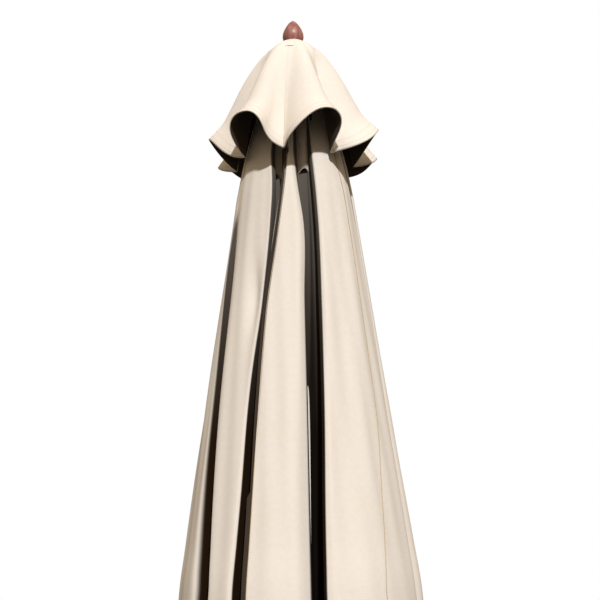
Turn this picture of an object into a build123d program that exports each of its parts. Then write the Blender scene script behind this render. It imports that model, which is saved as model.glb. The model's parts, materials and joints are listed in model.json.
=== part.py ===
from build123d import *
from math import cos, radians, sin
import os

# Market umbrella, closed, standing in a round weighted base. Millimetres, +Z up,
# origin on the ground at the pole's axis. Eight ribs at multiples of 45 degrees from +X.

os.makedirs("parts", exist_ok=True)

# overall
TOTAL_HEIGHT = 2500.0
RIB_COUNT = 8
RIB_STEP_DEG = 360.0 / RIB_COUNT

# fits
RUNNING_GAP = 0.06
PRESS_GAP = 0.03
SEAT_GAP = 0.08

# finial and crown, down to the hub's hinge level
FINIAL_HEIGHT = 60.0
FINIAL_RADIUS = 25.0
FINIAL_FOOT_RADIUS = 20.0
CROWN_ABOVE_HUB = 49.0
HUB_Z = TOTAL_HEIGHT - FINIAL_HEIGHT - CROWN_ABOVE_HUB

# linkage: rib hinge, strut hinge and runner hinge all lie on one radius
PIVOT_RADIUS = 34.0
STRUT_LENGTH = 560.0
RIB_LENGTH = 1380.0
STRUT_Z = HUB_Z - STRUT_LENGTH
RUNNER_Z = HUB_Z - 2 * STRUT_LENGTH
PIN_RADIUS = 2.0
EYE_RADIUS = 5.5
TONGUE_WIDTH = 6.0
SLOT_WIDTH = 6.6

# ribs
RIB_INNER = 40.0
RIB_DEPTH = 16.0
RIB_WIDTH = 12.0
RIB_TOP_DROP = 22.0
RIB_EDGE = 2.5
TIP_LENGTH = 30.0
TIP_OVERSIZE = 2.0

# struts
STRUT_DEPTH = 11.0

# hub and runner
HUB_RADIUS = 44.0
HUB_HEIGHT = 28.0
RUNNER_RADIUS = 39.0
RUNNER_FLANGE_HEIGHT = 22.0
RUNNER_SLEEVE_RADIUS = 27.0
RUNNER_SLEEVE_LENGTH = 70.0
SLOT_FLOOR_RADIUS = 24.0

# pole
POLE_RADIUS = 19.0
POLE_TOP_Z = HUB_Z + 20.0
POLE_BOTTOM_Z = 70.0
POLE_FOOT_HEIGHT = 12.0
POLE_SPLIT_Z = 760.0
FERRULE_LENGTH = 64.0
FERRULE_WALL = 2.4

# crank
CRANK_Z = 880.0
HOUSING_X = 66.0
HOUSING_Y = 74.0
HOUSING_Z = 100.0
AXLE_RADIUS = 4.0
SPOOL_RADIUS = 13.0
SPOOL_WIDTH = 16.0
MORTISE_WIDTH = 18.0
MORTISE_HEIGHT = 34.0
ARM_X = 40.0
ARM_THICKNESS = 7.0
ARM_LENGTH = 90.0
KNOB_RADIUS = 12.0
KNOB_LENGTH = 36.0

# base
BASE_RADIUS = 250.0
FOOT_THICKNESS = 4.0
BASE_EDGE_TOP = 32.0
BASE_CROWN_TOP = 64.0
FLANGE_RADIUS = 62.0
FLANGE_THICKNESS = 6.0
STEM_RADIUS = 27.0
STEM_BORE = 24.5
STEM_TOP_Z = 420.0
CLAMP_Z = 372.0

# canopy gores, as open folds of gathered cloth
CLOTH = 2.5
MAIN_TOP_DROP = 190.0
MAIN_HEM_DROP = 1330.0
MAIN_TOP_REACH = 112.0
MAIN_HEM_REACH = 266.0
MAIN_TOP_FOLD = 27.0
MAIN_HEM_FOLD = 66.0
VENT_TOP_DROP = 32.0
VENT_HEM_DROP = 215.0
VENT_TOP_REACH = 95.0
VENT_HEM_REACH = 202.0
VENT_TOP_FOLD = 24.0
VENT_HEM_FOLD = 52.0


def rod(radius, low, high, x=0.0, y=0.0):
    """A vertical round bar between two heights."""
    return Pos(x, y, (low + high) / 2) * Cylinder(radius, high - low)


def rod_x(radius, low, high, y=0.0, z=0.0):
    """A round bar along X."""
    return Pos((low + high) / 2, y, z) * Rot(0, 90, 0) * Cylinder(radius, high - low)


def rod_y(radius, low, high, x=0.0, z=0.0):
    """A round bar along Y."""
    return Pos(x, (low + high) / 2, z) * Rot(90, 0, 0) * Cylinder(radius, high - low)


def block(x, y, z):
    """A box from three (low, high) spans."""
    centre = Pos(sum(x) / 2, sum(y) / 2, sum(z) / 2)
    return centre * Box(x[1] - x[0], y[1] - y[0], z[1] - z[0])


def turned(points):
    """A solid of revolution about Z from (radius, height) corners."""
    outline = Plane.XZ * make_face(Polyline(*points, close=True))
    return revolve(outline, Axis.Z)


def around(shape, turns=RIB_COUNT):
    """Copies of a shape at equal steps round the pole."""
    return [Rot(0, 0, k * 360.0 / turns) * shape for k in range(turns)]


def save(shapes, node):
    """Write one node from a solid or a list of separate solids."""
    group = shapes if isinstance(shapes, list) else [shapes]
    solids = [solid for shape in group for solid in shape.solids()]
    export_step(solids[0] if len(solids) == 1 else Compound(solids), f"parts/{node}.step")


# --- weighted base -------------------------------------------------------------------

def base_plate():
    profile = [
        (0, FOOT_THICKNESS),
        (BASE_RADIUS - 6, FOOT_THICKNESS),
        (BASE_RADIUS, FOOT_THICKNESS + 6),
        (BASE_RADIUS, BASE_EDGE_TOP - 8),
        (BASE_RADIUS - 10, BASE_EDGE_TOP),
        (FLANGE_RADIUS + 26, BASE_CROWN_TOP - 8),
        (FLANGE_RADIUS + 10, BASE_CROWN_TOP),
        (0, BASE_CROWN_TOP),
    ]
    plate = turned(profile)
    pocket = rod(STEM_RADIUS + 12, BASE_CROWN_TOP - 24, BASE_CROWN_TOP + 1)
    bolt_holes = around(rod(4.2, BASE_CROWN_TOP - 30, BASE_CROWN_TOP + 1, x=FLANGE_RADIUS - 12), 4)
    rim = plate.edges().filter_by(GeomType.CIRCLE).sort_by(Axis.Z)
    softened = fillet([edge for edge in rim if edge.radius > BASE_RADIUS - 15], 3)
    return softened - pocket - bolt_holes


def base_feet():
    pad = rod(20, 0, FOOT_THICKNESS, x=BASE_RADIUS - 35)
    return [Rot(0, 0, 30) * foot for foot in around(pad, 6)]


def stem_flange():
    flange = rod(FLANGE_RADIUS, BASE_CROWN_TOP, BASE_CROWN_TOP + FLANGE_THICKNESS)
    holes = around(
        rod(4.2, BASE_CROWN_TOP - 1, BASE_CROWN_TOP + FLANGE_THICKNESS + 1, x=FLANGE_RADIUS - 12), 4
    )
    top = flange.edges().sort_by(Axis.Z)[-1]
    return fillet(top, 2) - holes


def stem_bolts():
    seat = BASE_CROWN_TOP + FLANGE_THICKNESS
    shank = rod(4.0, BASE_CROWN_TOP - 28, seat + 1)
    head = Pos(0, 0, seat) * extrude(RegularPolygon(7.5, 6), 6)
    return around(Pos(FLANGE_RADIUS - 12, 0, 0) * (shank + head), 4)


def stem_tube():
    low = BASE_CROWN_TOP + FLANGE_THICKNESS
    tube = rod(STEM_RADIUS, low, STEM_TOP_Z) - rod(STEM_BORE, low - 1, STEM_TOP_Z + 1)
    return tube - rod_y(5.6, -STEM_RADIUS - 2, 0, z=CLAMP_Z)


def stem_bushings():
    low = BASE_CROWN_TOP + FLANGE_THICKNESS
    outer = STEM_BORE - PRESS_GAP
    bore = rod(POLE_RADIUS + SEAT_GAP, low - 1, STEM_TOP_Z + 20)
    upper = rod(outer, STEM_TOP_Z - 85, STEM_TOP_Z) + rod(STEM_RADIUS + 3, STEM_TOP_Z, STEM_TOP_Z + 9)
    upper = fillet(upper.edges().sort_by(Axis.Z)[-1], 3)
    upper = upper - bore - rod_y(5.6, -STEM_RADIUS - 2, 0, z=CLAMP_Z)
    lower = rod(outer, low, low + 30) - bore
    return [upper, lower]


def clamp_nut():
    turn = Plane(origin=(0, -23, CLAMP_Z), z_dir=(0, -1, 0))
    nut = extrude(turn * RegularPolygon(10, 6), 14)
    return nut - rod(STEM_RADIUS + PRESS_GAP, CLAMP_Z - 20, CLAMP_Z + 20) - rod_y(
        5.0 + RUNNING_GAP, -40, -20, z=CLAMP_Z
    )


def clamp_knob():
    shank = rod_y(5.0, -44, -POLE_RADIUS - 0.5, z=CLAMP_Z)
    face = Plane(origin=(0, -40, CLAMP_Z), z_dir=(0, -1, 0))
    grip = Circle(15)
    for k in range(5):
        grip += Rot(0, 0, 72 * k) * Pos(14, 0) * Circle(8.5)
    head = extrude(face * grip, 18)
    head = chamfer(head.faces().sort_by(Axis.Y)[0].edges(), 1.5)
    return shank + head


# --- pole ----------------------------------------------------------------------------

def pole_lower():
    return rod(POLE_RADIUS, POLE_BOTTOM_Z + POLE_FOOT_HEIGHT, POLE_SPLIT_Z)


def pole_foot():
    foot = rod(POLE_RADIUS, POLE_BOTTOM_Z, POLE_BOTTOM_Z + POLE_FOOT_HEIGHT)
    return chamfer(foot.edges().sort_by(Axis.Z)[0], 2)


def pole_upper():
    pole = rod(POLE_RADIUS, POLE_SPLIT_Z, POLE_TOP_Z)
    mortise = Pos(0, 0, CRANK_Z) * Box(MORTISE_WIDTH, 2 * POLE_RADIUS + 2, MORTISE_HEIGHT)
    axle_hole = rod_x(AXLE_RADIUS + RUNNING_GAP, -POLE_RADIUS - 1, POLE_RADIUS + 1, z=CRANK_Z)
    stud_hole = rod(4.0 + PRESS_GAP, POLE_TOP_Z - 42, POLE_TOP_Z + 1)
    return pole - mortise - axle_hole - stud_hole


def pole_ferrule():
    low = POLE_SPLIT_Z - FERRULE_LENGTH / 2
    high = POLE_SPLIT_Z + FERRULE_LENGTH / 2
    sleeve = rod(POLE_RADIUS + PRESS_GAP + FERRULE_WALL, low, high)
    bead = rod(POLE_RADIUS + PRESS_GAP + FERRULE_WALL + 1.2, POLE_SPLIT_Z - 4, POLE_SPLIT_Z + 4)
    return sleeve + bead - rod(POLE_RADIUS + PRESS_GAP, low - 1, high + 1)


def slotted_ring(radius, low, high):
    """The notched ring that holds eight hinge tongues."""
    ring = rod(radius, low, high)
    ring = chamfer(ring.edges().filter_by(GeomType.CIRCLE), 1.5)
    slot = block(
        (SLOT_FLOOR_RADIUS, radius + 5), (-SLOT_WIDTH / 2, SLOT_WIDTH / 2), (low - 1, high + 1)
    )
    return ring - around(slot)


def hinge_holes(z, length):
    return around(rod_y(PIN_RADIUS + PRESS_GAP, -length / 2, length / 2, x=PIVOT_RADIUS, z=z))


def hinge_pins(z, length):
    return around(rod_y(PIN_RADIUS, -length / 2, length / 2, x=PIVOT_RADIUS, z=z))


def hub():
    low = HUB_Z - HUB_HEIGHT / 2
    high = HUB_Z + HUB_HEIGHT / 2
    ring = slotted_ring(HUB_RADIUS, low, high) - hinge_holes(HUB_Z, 16)
    return ring - rod(POLE_RADIUS + PRESS_GAP, low - 1, high + 1)


def crown_spacer():
    low = HUB_Z + HUB_HEIGHT / 2
    cone = turned([(0, low), (38, low), (38, low + 4), (26, low + 30), (0, low + 30)])
    cone = cone - rod(POLE_RADIUS + PRESS_GAP, low - 1, POLE_TOP_Z + 0.2)
    return cone - rod(4.0 + SEAT_GAP, low, low + 40)


def crown_patch():
    top = HUB_Z + CROWN_ABOVE_HUB
    inner = HUB_Z + HUB_HEIGHT / 2 + 30
    profile = [(0, inner), (26, inner), (61, HUB_Z + 18), (64, HUB_Z + 18), (28, top), (0, top)]
    return turned(profile) - rod(4.0 + SEAT_GAP, inner - 1, top + 1)


def finial():
    foot = TOTAL_HEIGHT - FINIAL_HEIGHT
    side = Spline(
        (FINIAL_FOOT_RADIUS + 1.5, foot + 5),
        (FINIAL_RADIUS, foot + 17),
        (21, foot + 34),
        (11.5, foot + 50),
        (0, TOTAL_HEIGHT),
        tangents=((0.6, 1), (-1, 0.75)),
    )
    outline = Polyline(
        (0, TOTAL_HEIGHT),
        (0, foot),
        (FINIAL_FOOT_RADIUS, foot),
        (FINIAL_FOOT_RADIUS + 2.5, foot + 2.5),
        (FINIAL_FOOT_RADIUS + 1.5, foot + 5),
    )
    bullet = revolve(Plane.XZ * make_face([outline, side]), Axis.Z)
    return bullet - rod(4.0 + PRESS_GAP, foot - 1, foot + 26)


def finial_stud():
    return rod(4.0, POLE_TOP_Z - 40, TOTAL_HEIGHT - FINIAL_HEIGHT + 25)


# --- crank ---------------------------------------------------------------------------

SCREW_Y = HOUSING_Y / 2 - 8
SCREW_Z = HOUSING_Z / 2 - 14


def housing_blank():
    shell = Pos(0, 0, CRANK_Z) * Box(HOUSING_X, HOUSING_Y, HOUSING_Z)
    shell = fillet(shell.edges().filter_by(Axis.Z), 16)
    shell = fillet(shell.faces().sort_by(Axis.Z)[-1].edges(), 5)
    shell = fillet(shell.faces().sort_by(Axis.Z)[0].edges(), 5)
    shell += rod_x(15, HOUSING_X / 2 - 5, ARM_X - 2, z=CRANK_Z)
    shell -= rod(POLE_RADIUS + PRESS_GAP, CRANK_Z - HOUSING_Z, CRANK_Z + HOUSING_Z)
    shell -= rod_x(AXLE_RADIUS + RUNNING_GAP, -HOUSING_X / 2 + 2, ARM_X, z=CRANK_Z)
    for y in (-SCREW_Y, SCREW_Y):
        for z in (-SCREW_Z, SCREW_Z):
            shell -= rod_x(2.5 + PRESS_GAP, -HOUSING_X / 2 - 1, 16, y=y, z=CRANK_Z + z)
            shell -= rod_x(4.8, -HOUSING_X / 2 - 1, -HOUSING_X / 2 + 4, y=y, z=CRANK_Z + z)
    return shell


def housing_half(side):
    span = (0.05, ARM_X) if side > 0 else (-HOUSING_X, -0.05)
    cutter = block(span, (-HOUSING_Y, HOUSING_Y), (CRANK_Z - HOUSING_Z, CRANK_Z + HOUSING_Z))
    return housing_blank() & cutter


def housing_screws():
    back = -HOUSING_X / 2
    screws = []
    for y in (-SCREW_Y, SCREW_Y):
        for z in (-SCREW_Z, SCREW_Z):
            shank = rod_x(2.5, back + 4, 15, y=y, z=CRANK_Z + z)
            head = rod_x(4.5, back + 0.8, back + 4, y=y, z=CRANK_Z + z)
            screws.append(shank + head)
    return screws


def crank_spool():
    axle = rod_x(AXLE_RADIUS, -HOUSING_X / 2 + 3, ARM_X + ARM_THICKNESS + 3, z=CRANK_Z)
    drum = rod_x(SPOOL_RADIUS - 5, -SPOOL_WIDTH / 2, SPOOL_WIDTH / 2, z=CRANK_Z)
    for x in (-SPOOL_WIDTH / 2, SPOOL_WIDTH / 2 - 2):
        drum += rod_x(SPOOL_RADIUS, x, x + 2, z=CRANK_Z)
    return axle + drum


def crank_arm():
    face = Plane(origin=(ARM_X, 0, CRANK_Z), x_dir=(0, 1, 0), z_dir=(1, 0, 0))
    outline = make_hull(
        (Circle(13).edges() + (Pos(0, -ARM_LENGTH) * Circle(9)).edges())
    )
    arm = extrude(face * outline, ARM_THICKNESS)
    arm = chamfer(arm.edges().group_by(Axis.X)[-1], 1.2)
    arm -= rod_x(AXLE_RADIUS + PRESS_GAP, ARM_X - 1, ARM_X + ARM_THICKNESS + 1, z=CRANK_Z)
    return arm - rod_x(3.0 + PRESS_GAP, ARM_X - 1, ARM_X + ARM_THICKNESS + 1, z=CRANK_Z - ARM_LENGTH)


def crank_fastenings():
    """The knob's shoulder screw and the axle's dome nut."""
    face = ARM_X + ARM_THICKNESS
    knob_end = face + 2 + KNOB_LENGTH
    shank = rod_x(3.0, ARM_X, knob_end - 3, z=CRANK_Z - ARM_LENGTH)
    head = rod_x(6.0, knob_end - 3, knob_end - 0.5, z=CRANK_Z - ARM_LENGTH)
    nut = rod_x(8.0, face, face + 7, z=CRANK_Z) - rod_x(AXLE_RADIUS + PRESS_GAP, face - 1, face + 3.5, z=CRANK_Z)
    return [shank + head, fillet(nut.edges().sort_by(Axis.X)[-1], 3)]


def crank_knob():
    low = ARM_X + ARM_THICKNESS + 2
    high = low + KNOB_LENGTH
    z = CRANK_Z - ARM_LENGTH
    knob = rod_x(KNOB_RADIUS, low, high, z=z)
    knob = fillet(knob.edges().filter_by(GeomType.CIRCLE), 4)
    knob -= rod_x(3.0 + SEAT_GAP, low - 1, high + 1, z=z)
    return knob - rod_x(6.4, high - 3.4, high + 1, z=z)


# --- runner, ribs and struts ---------------------------------------------------------

def runner():
    low = RUNNER_Z - RUNNER_FLANGE_HEIGHT / 2
    high = RUNNER_Z + RUNNER_FLANGE_HEIGHT / 2
    ring = slotted_ring(RUNNER_RADIUS, low, high) - hinge_holes(RUNNER_Z, 15)
    sleeve = rod(RUNNER_SLEEVE_RADIUS, low - RUNNER_SLEEVE_LENGTH, low)
    lip = rod(RUNNER_SLEEVE_RADIUS + 3, low - RUNNER_SLEEVE_LENGTH, low - RUNNER_SLEEVE_LENGTH + 8)
    lip = fillet(lip.edges().filter_by(GeomType.CIRCLE), 2)
    return ring + sleeve + lip - rod(POLE_RADIUS + SEAT_GAP, low - 90, high + 1)


def rib():
    top = HUB_Z - RIB_TOP_DROP
    end = HUB_Z - RIB_LENGTH + TIP_LENGTH
    middle = RIB_INNER + RIB_DEPTH / 2
    half = RIB_WIDTH / 2
    bar = block((RIB_INNER, RIB_INNER + RIB_DEPTH), (-half, half), (end, top))
    bar = fillet(bar.edges().filter_by(Axis.Z), RIB_EDGE)
    side = Polyline(
        (PIVOT_RADIUS - 5.5, HUB_Z + 1.5),
        (PIVOT_RADIUS + 5.5, HUB_Z + 1.5),
        (RIB_INNER + 13, top + 1),
        (RIB_INNER + 13, top - 14),
        (RIB_INNER + 3, top - 14),
        (RIB_INNER - 1, top + 2),
        close=True,
    )
    tongue = extrude(Plane.XZ * make_face(side), TONGUE_WIDTH / 2, both=True)
    tongue += rod_y(6.0, -TONGUE_WIDTH / 2, TONGUE_WIDTH / 2, x=PIVOT_RADIUS, z=HUB_Z)
    ears = rod_y(6.0, -half, half, x=PIVOT_RADIUS, z=STRUT_Z)
    ears += block((PIVOT_RADIUS, RIB_INNER + 4), (-half, half), (STRUT_Z - 6, STRUT_Z + 6))
    gap = SLOT_WIDTH / 2
    ears -= block((PIVOT_RADIUS - 8, RIB_INNER), (-gap, gap), (STRUT_Z - 9, STRUT_Z + 9))
    body = bar + tongue + ears
    body -= rod_y(PIN_RADIUS + RUNNING_GAP, -half, half, x=PIVOT_RADIUS, z=HUB_Z)
    body -= rod_y(PIN_RADIUS + PRESS_GAP, -half - 1, half + 1, x=PIVOT_RADIUS, z=STRUT_Z)
    pin = rod_y(PIN_RADIUS, -half, half, x=PIVOT_RADIUS, z=STRUT_Z)
    cap = Pos(middle, 0, end - TIP_LENGTH / 2 - PRESS_GAP) * Box(
        RIB_DEPTH + TIP_OVERSIZE, RIB_WIDTH + TIP_OVERSIZE, TIP_LENGTH
    )
    cap = fillet(cap.edges().filter_by(Axis.Z), RIB_EDGE)
    cap = fillet(cap.faces().sort_by(Axis.Z)[0].edges(), 2)
    return [body, pin, cap]


def strut():
    half = TONGUE_WIDTH / 2
    bar = block(
        (PIVOT_RADIUS - STRUT_DEPTH / 2, PIVOT_RADIUS + STRUT_DEPTH / 2),
        (-half, half),
        (RUNNER_Z, STRUT_Z),
    )
    for z in (RUNNER_Z, STRUT_Z):
        bar += rod_y(EYE_RADIUS, -half, half, x=PIVOT_RADIUS, z=z)
    for z in (RUNNER_Z, STRUT_Z):
        bar -= rod_y(PIN_RADIUS + RUNNING_GAP, -half - 1, half + 1, x=PIVOT_RADIUS, z=z)
    return bar


# --- canopy --------------------------------------------------------------------------

def fold(top_drop, hem_drop, top_reach, hem_reach, top_fold, hem_fold):
    """One gathered gore: a widening half tube of cloth that stands off the ribs."""
    stations = (
        (HUB_Z - top_drop, top_reach - top_fold, top_fold),
        (HUB_Z - hem_drop, hem_reach - hem_fold, hem_fold),
    )
    outside = loft([Pos(centre, 0, z) * Circle(bulge) for z, centre, bulge in stations], ruled=True)
    beyond = []
    for z, centre, bulge in stations:
        step = 1.0 if z == stations[0][0] else -1.0
        beyond.append(Pos(centre, 0, z + step * 0.001) * Circle(bulge - CLOTH))
    inside = loft(beyond, ruled=True)
    keep = []
    for z, centre, bulge in stations:
        keep.append(Pos(centre + bulge / 2, 0, z) * Rectangle(2 * bulge, 3 * bulge))
    return (outside - inside) & loft(keep, ruled=True)


def main_gore():
    return fold(
        MAIN_TOP_DROP, MAIN_HEM_DROP, MAIN_TOP_REACH, MAIN_HEM_REACH, MAIN_TOP_FOLD, MAIN_HEM_FOLD
    )


def vent_gore():
    return fold(
        VENT_TOP_DROP, VENT_HEM_DROP, VENT_TOP_REACH, VENT_HEM_REACH, VENT_TOP_FOLD, VENT_HEM_FOLD
    )


save(base_plate(), "base_plate")
save(base_feet(), "base_feet")
save(stem_flange(), "stem_flange")
save(stem_bolts(), "stem_bolts")
save(stem_tube(), "stem_tube")
save(stem_bushings(), "stem_bushings")
save(clamp_nut(), "clamp_nut")
save(clamp_knob(), "clamp_knob")
save(pole_lower(), "pole_lower")
save(pole_foot(), "pole_foot")
save(pole_upper(), "pole_upper")
save(pole_ferrule(), "pole_ferrule")
save(hub(), "hub")
save(hinge_pins(HUB_Z, 15.9), "hub_pins")
save(crown_spacer(), "crown_spacer")
save(crown_patch(), "crown_patch")
save(finial(), "finial")
save(finial_stud(), "finial_stud")
save(housing_half(1), "crank_housing_front")
save(housing_half(-1), "crank_housing_back")
save(housing_screws(), "crank_housing_screws")
save(crank_spool(), "crank_spool")
save(crank_arm(), "crank_arm")
save(crank_fastenings(), "crank_fastenings")
save(crank_knob(), "crank_knob")
save(runner(), "runner")
save(hinge_pins(RUNNER_Z, 14.9), "runner_pins")

rib_pieces = rib()
strut_piece = strut()
main_piece = main_gore()
vent_piece = vent_gore()
for k in range(RIB_COUNT):
    at_rib = Rot(0, 0, k * RIB_STEP_DEG)
    at_gore = Rot(0, 0, (k + 0.5) * RIB_STEP_DEG)
    save([at_rib * piece for piece in rib_pieces], f"rib_{k + 1}")
    save(at_rib * strut_piece, f"strut_{k + 1}")
    save(at_rib * main_piece, f"main_gore_{k + 1}")
    save(at_gore * vent_piece, f"vent_gore_{k + 1}")
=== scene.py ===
"""Closed market umbrella in its round base: cloth, wood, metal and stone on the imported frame.

All sizes are metres unless a name says otherwise. `drop` is the distance below the hub's
hinge level, `azimuth` is degrees round the pole from +X, counter-clockwise seen from above.
"""

import json
import logging
import math
from collections.abc import Sequence
from dataclasses import dataclass, field

import bpy
import numpy as np
from mathutils import Matrix


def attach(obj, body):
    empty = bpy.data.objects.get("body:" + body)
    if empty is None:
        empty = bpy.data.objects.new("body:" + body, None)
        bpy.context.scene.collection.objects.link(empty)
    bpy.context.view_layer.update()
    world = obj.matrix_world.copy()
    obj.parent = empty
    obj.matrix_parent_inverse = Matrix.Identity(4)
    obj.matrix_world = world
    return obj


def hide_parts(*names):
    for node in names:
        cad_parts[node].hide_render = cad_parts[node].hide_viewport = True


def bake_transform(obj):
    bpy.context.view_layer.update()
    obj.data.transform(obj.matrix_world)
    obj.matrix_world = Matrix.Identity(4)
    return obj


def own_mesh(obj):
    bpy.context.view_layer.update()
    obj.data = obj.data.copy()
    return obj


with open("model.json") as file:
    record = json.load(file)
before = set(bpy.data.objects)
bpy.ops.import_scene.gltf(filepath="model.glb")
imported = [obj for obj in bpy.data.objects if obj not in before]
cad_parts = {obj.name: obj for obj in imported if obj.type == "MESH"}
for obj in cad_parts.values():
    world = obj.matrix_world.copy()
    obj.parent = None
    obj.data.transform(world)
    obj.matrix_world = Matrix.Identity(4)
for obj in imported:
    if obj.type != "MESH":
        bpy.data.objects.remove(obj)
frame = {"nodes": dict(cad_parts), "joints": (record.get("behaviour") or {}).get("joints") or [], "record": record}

log = logging.getLogger("umbrella")

RIB_COUNT = 8
RIB_STEP = 360.0 / RIB_COUNT
MM = 0.001


# --- small tools ------------------------------------------------------------------------


def linear(hex_code: str) -> tuple[float, float, float, float]:
    """Turn an sRGB hex colour into linear RGBA.

    Args:
        hex_code: Six hex digits, such as "F4EBDF".

    Returns:
        Linear red, green, blue and an alpha of 1.
    """
    parts = [int(hex_code[k : k + 2], 16) / 255 for k in (0, 2, 4)]
    curve = [c / 12.92 if c <= 0.04045 else ((c + 0.055) / 1.055) ** 2.4 for c in parts]
    return (curve[0], curve[1], curve[2], 1.0)


def add_node(tree: bpy.types.NodeTree, kind: str, inputs: dict | None = None, **settings) -> bpy.types.Node:
    """Add one node with its settings, values and links.

    Args:
        tree: The node tree to add to.
        kind: The node's type name.
        inputs: Values or output sockets by input name or index.
        settings: Attributes of the node itself.

    Returns:
        The new node.
    """
    made = tree.nodes.new(kind)
    for name, value in settings.items():
        setattr(made, name, value)
    for name, value in (inputs or {}).items():
        socket = made.inputs[name]
        if isinstance(value, bpy.types.NodeSocket):
            tree.links.new(value, socket)
        else:
            socket.default_value = value
    return made


def eased(at: np.ndarray, stations: Sequence[float], values: Sequence[float]) -> np.ndarray:
    """Read a smooth curve drawn through a few stations, held flat beyond its ends.

    Args:
        at: Where to read it.
        stations: Rising positions of the stations.
        values: The curve's value at each station.

    Returns:
        The values there.
    """
    x, y = np.asarray(stations, float), np.asarray(values, float)
    slope = np.gradient(y, x)
    at = np.clip(at, x[0], x[-1])
    k = np.clip(np.searchsorted(x, at) - 1, 0, len(x) - 2)
    span = x[k + 1] - x[k]
    t = (at - x[k]) / span
    rise, lead, trail = y[k + 1] - y[k], slope[k] * span, slope[k + 1] * span
    return y[k] + t * lead + t**2 * (3 * rise - 2 * lead - trail) + t**3 * (lead + trail - 2 * rise)


def soft_line(control: np.ndarray, per_span: int) -> np.ndarray:
    """Run a cubic B-spline along the second axis of a stack of control lines.

    Args:
        control: Points as (rows, points, size).
        per_span: Samples in each span.

    Returns:
        The sampled lines, which start and end on the first and last control points.
    """
    first = 2 * control[:, :1] - control[:, 1:2]
    last = 2 * control[:, -1:] - control[:, -2:-1]
    p = np.concatenate([first, control, last], axis=1)
    t = (np.arange(per_span) / per_span)[None, None, :, None]
    a, b, c, d = (p[:, k : p.shape[1] - 3 + k, None, :] for k in range(4))
    spans = (
        (1 - t) ** 3 * a
        + (3 * t**3 - 6 * t**2 + 4) * b
        + (-3 * t**3 + 3 * t**2 + 3 * t + 1) * c
        + t**3 * d
    ) / 6
    line = spans.reshape(p.shape[0], -1, p.shape[2])
    return np.concatenate([line, control[:, -1:]], axis=1)


def turn(
    axis: Sequence[float],
    degrees: float | np.ndarray,
    through: Sequence[float],
    points: np.ndarray,
) -> np.ndarray:
    """Turn points about a line.

    Args:
        axis: The line's direction.
        degrees: One angle, or one for each point.
        through: A point on the line.
        points: Points as (..., 3).

    Returns:
        The turned points.
    """
    n = np.asarray(axis, float) / np.linalg.norm(axis)
    angle = np.radians(np.asarray(degrees, float))[..., None]
    arm = points - np.asarray(through, float)
    along = (arm @ n)[..., None] * n
    return np.asarray(through) + along + np.cos(angle) * (arm - along) + np.sin(angle) * np.cross(n, arm)


def polar(azimuth: np.ndarray, radius: np.ndarray, height: np.ndarray) -> np.ndarray:
    """Points from an azimuth in degrees, a radius and a height, stacked on a new last axis."""
    angle = np.radians(azimuth)
    radius, height = np.broadcast_to(radius, angle.shape), np.broadcast_to(height, angle.shape)
    return np.stack([radius * np.cos(angle), radius * np.sin(angle), height], axis=-1)


# --- finishes ---------------------------------------------------------------------------


@dataclass(frozen=True)
class Finish:
    """A real surface finish that can become one Blender material."""

    name: str
    colour: str
    roughness: float

    def material(self) -> bpy.types.Material:
        """Make the material, or find it if it was made before."""
        known = bpy.data.materials.get(self.name)
        if known is not None:
            return known
        made = bpy.data.materials.new(self.name)
        made.use_nodes = True
        tree = made.node_tree
        shader = tree.nodes["Principled BSDF"]
        shader.inputs["Base Color"].default_value = linear(self.colour)
        shader.inputs["Roughness"].default_value = self.roughness
        self.dress(tree, shader)
        return made

    def dress(self, tree: bpy.types.NodeTree, shader: bpy.types.Node) -> None:
        """Add the finish's own pattern to a plain shader."""
        raise NotImplementedError


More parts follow.
